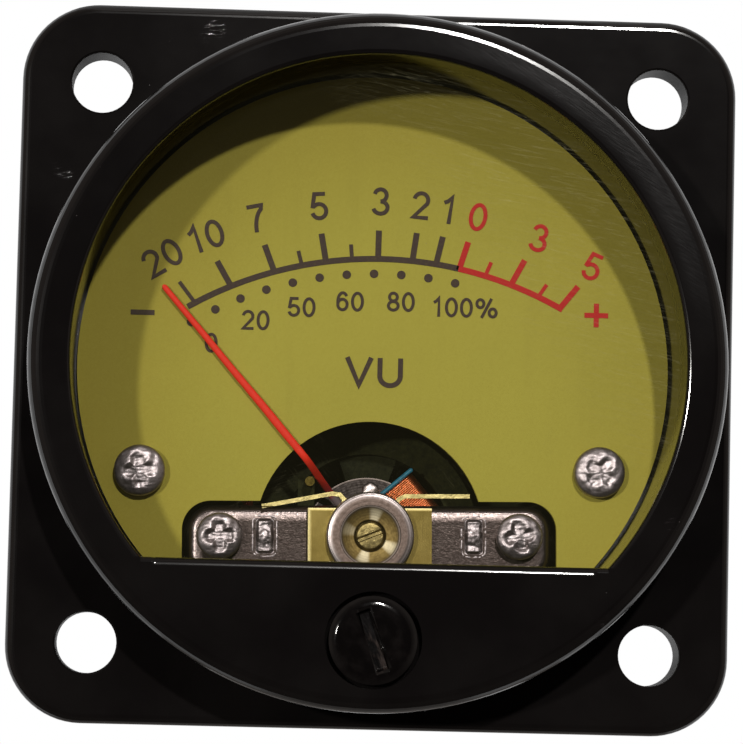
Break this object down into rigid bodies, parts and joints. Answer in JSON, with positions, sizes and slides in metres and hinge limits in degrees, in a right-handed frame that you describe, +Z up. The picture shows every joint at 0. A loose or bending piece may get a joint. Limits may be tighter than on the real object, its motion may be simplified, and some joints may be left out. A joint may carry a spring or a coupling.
{
  "type": "analog panel meter",
  "caption": "Square-flanged panel meter with a round bezel, a clear window over a yellow-green level scale, a red pointer, an open moving-coil movement and a slotted zero adjuster.",
  "frame": {"origin": "centre of the four mounting holes on the flat back of the flange, which seats on the panel", "axes": "+X to the right seen from the front, +Z up, the dial faces -Y and the case runs back along +Y"},
  "size_m": [0.045, 0.0354, 0.045],
  "materials": {
    "black_moulding": "glossy black phenolic moulding with fine scratches",
    "clear_window": "clear acrylic, lightly scratched",
    "adjuster_black": "glossy black plastic, worn at the slot",
    "dial_paint": "satin yellow-green paint on aluminium",
    "ink_black": "matt dark ink",
    "ink_red": "matt red ink",
    "nickel": "dull nickel plate over a casting",
    "bright_steel": "nickel-plated steel",
    "brass": "bright yellow brass",
    "aluminium": "bright turned aluminium",
    "spring_bronze": "phosphor bronze strip",
    "ruby": "synthetic ruby",
    "pointer_red": "red paint on aluminium",
    "copper": "enamelled copper winding",
    "blue_enamel": "blue enamel on wire",
    "core_steel": "turned core face",
    "dark_iron": "blackened soft iron",
    "black_matte": "matt black moulding",
    "terminal_plate": "nickel-plated brass",
    "red_wire": "red sleeving"
  },
  "bodies": {
    "meter": {"front_housing": "black_moulding", "window": "clear_window", "dial_plate": "dial_paint", "scale_print_black": "ink_black", "scale_print_red": "ink_red", "dial_screws": "bright_steel", "front_bridge": "nickel", "bridge_screws": "bright_steel", "yoke_lugs": "bright_steel", "lock_ring": "aluminium", "bearing_bush": "brass", "front_jewel_screw": "brass", "jewels": "ruby", "magnet_core": "core_steel", "core_spacers": "black_matte", "yoke_ring": "dark_iron", "stop_tab": "dark_iron", "stop_pins": "brass", "movement_base": "black_matte", "rear_bridge": "nickel", "rear_bridge_screws": "bright_steel", "rear_jewel_screw": "brass", "rear_lock_nut": "brass", "rear_spring_anchor": "brass", "rear_case": "black_matte", "case_screws": "bright_steel", "terminal_studs": "terminal_plate", "terminal_inner_nuts": "terminal_plate", "terminal_washers": "terminal_plate", "solder_tags": "terminal_plate", "terminal_nuts": "terminal_plate", "lead_wires": "red_wire"},
    "movement": {"pivots": "bright_steel", "spring_collets": "brass", "front_hairspring": "spring_bronze", "rear_hairspring": "spring_bronze", "pointer_hub": "aluminium", "pointer": "pointer_red", "balance_tail": "brass", "balance_weights": "bright_steel", "coil_former": "aluminium", "coil_winding": "copper", "coil_lead": "blue_enamel"},
    "adjuster": {"zero_adjuster": "adjuster_black", "adjuster_retainer": "bright_steel"},
    "lever": {"zero_lever": "brass"}
  },
  "joints": [
    {"name": "pointer_swing", "type": "hinge", "parent": "meter", "child": "movement", "pos_m": [0, 0, -0.01045], "axis": [0, 1, 0], "range_deg": [-1, 82], "stiffness_Nm_per_rad": 0.00002, "deforming": ["front_hairspring", "rear_hairspring"]},
    {"name": "adjuster_turn", "type": "hinge", "parent": "meter", "child": "adjuster", "pos_m": [0, 0, -0.017], "axis": [0, 1, 0], "range_deg": [-40, 40]},
    {"name": "lever_swing", "type": "hinge", "parent": "meter", "child": "lever", "pos_m": [0, 0, -0.01045], "axis": [0, 1, 0], "range_deg": [-5.6, 5.6]}
  ],
  "couplings": [
    {"joint": "lever_swing", "follows": "adjuster_turn", "ratio": -0.14}
  ]
}
